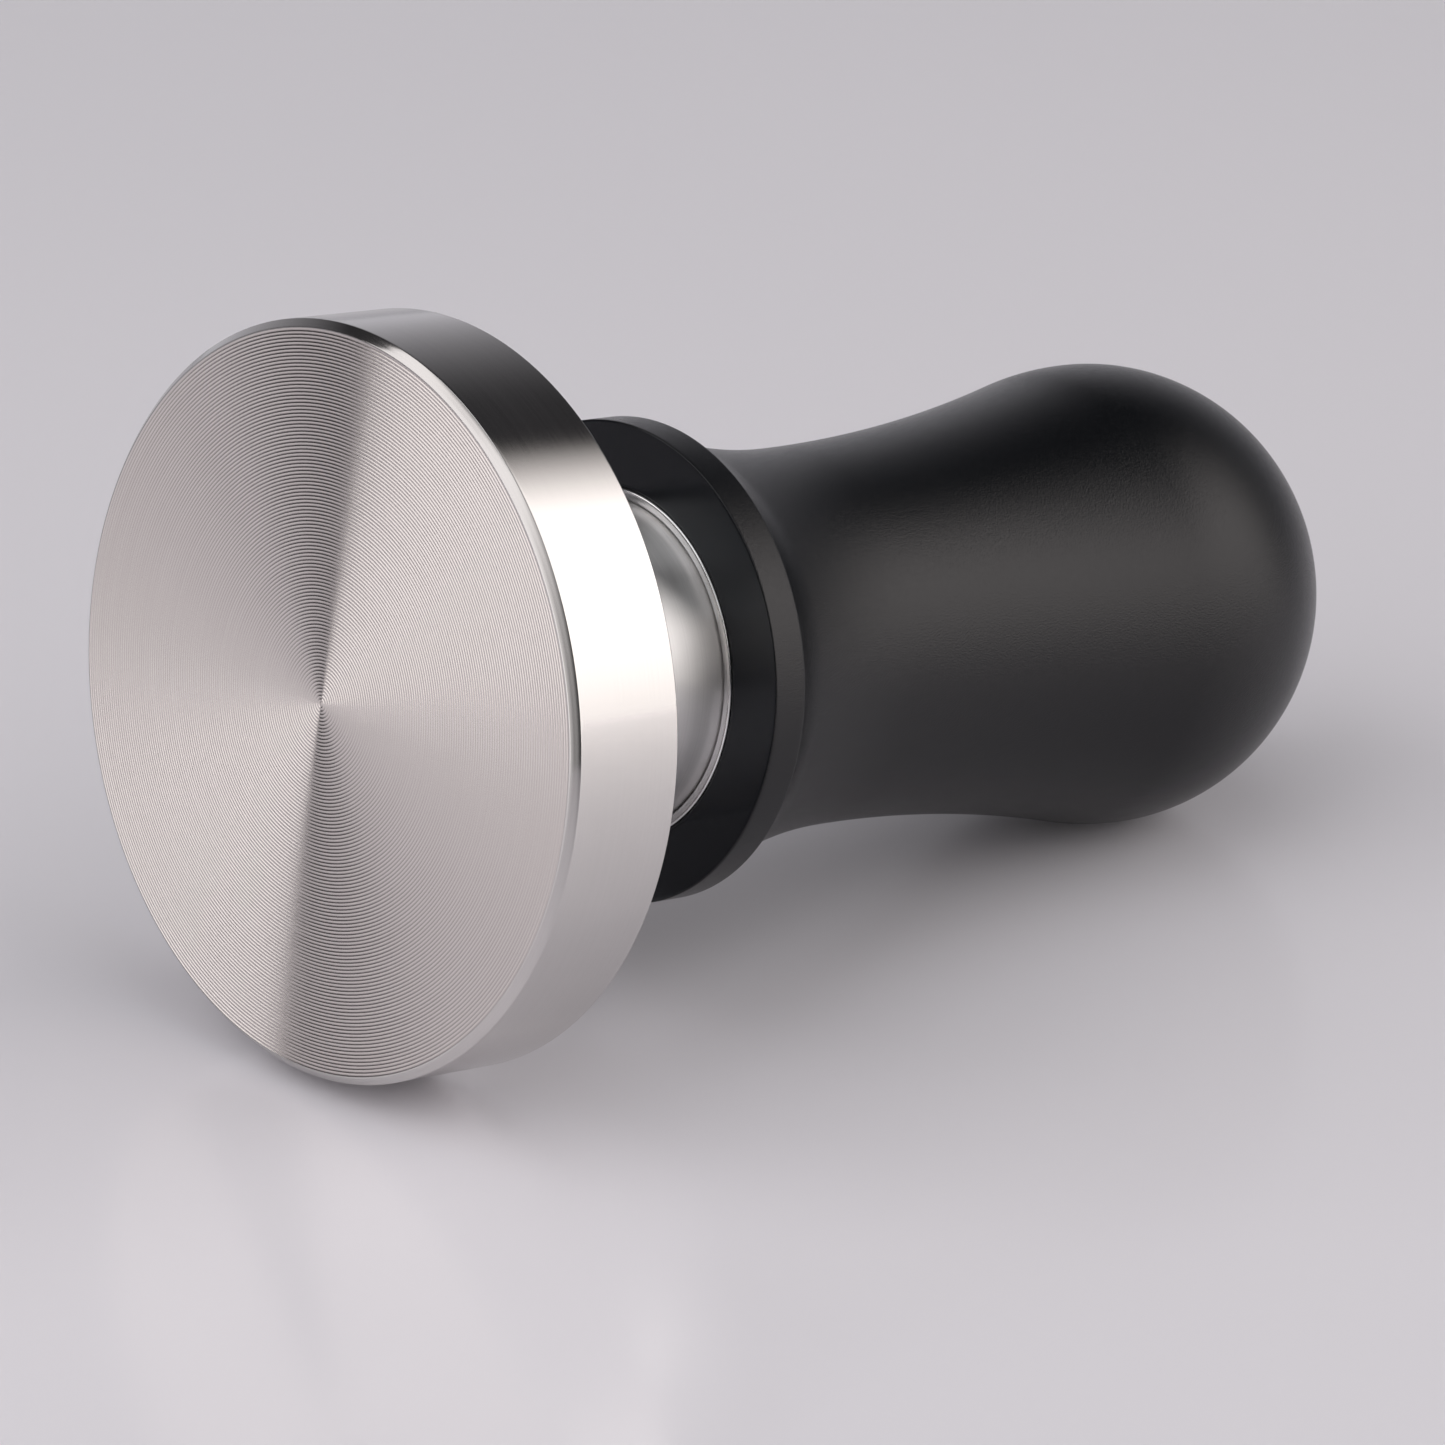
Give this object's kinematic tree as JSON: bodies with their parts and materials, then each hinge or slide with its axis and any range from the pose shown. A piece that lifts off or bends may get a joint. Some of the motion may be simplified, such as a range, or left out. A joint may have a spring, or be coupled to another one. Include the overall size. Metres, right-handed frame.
{
  "type": "espresso tamper",
  "caption": "Spring-loaded espresso tamper: turned steel tamping base on a polished piston that slides into a waisted black handle with a round knob.",
  "frame": {"origin": "centre of the flat tamping face, which is the face the tamper stands on", "axes": "+Z along the tamper's axis from the tamping face to the knob; the part is round about Z, so X and Y are any two square directions"},
  "size_m": [0.058, 0.058, 0.0995],
  "materials": {
    "turned_steel": "fine turned rings on the face, satin rim",
    "polished_steel": "polished",
    "bright_sleeve": "bright polished",
    "black_anodised": "fine bead-blasted black anodising",
    "plain_steel": "plain machined",
    "spring_wire": "drawn wire, lightly oiled",
    "black_rubber": "matt",
    "grey_nylon": "satin moulded"
  },
  "bodies": {
    "base": {"base_plate": "turned_steel", "base_seal": "black_rubber", "piston": "polished_steel", "guide_band": "grey_nylon", "bumper_washer": "black_rubber"},
    "spring_pack": {"lower_spring_seat": "grey_nylon", "spring": "spring_wire"},
    "grip": {"upper_spring_seat": "grey_nylon", "preload_shim": "plain_steel", "shoulder_screw": "plain_steel", "screw_washer": "plain_steel", "thread_insert": "plain_steel", "guide_sleeve": "bright_sleeve", "handle": "black_anodised"}
  },
  "joints": [
    {"name": "handle_spin", "type": "hinge", "parent": "base", "child": "spring_pack", "pos_m": [0, 0, 0.035], "axis": [0, 0, 1], "continuous": true},
    {"name": "handle_press", "type": "slide", "parent": "spring_pack", "child": "grip", "axis": [0, 0, -1], "range_m": [0, 0.012], "stiffness_N_per_m": 5910, "springref_m": -0.0105, "deforming": ["spring"]}
  ]
}
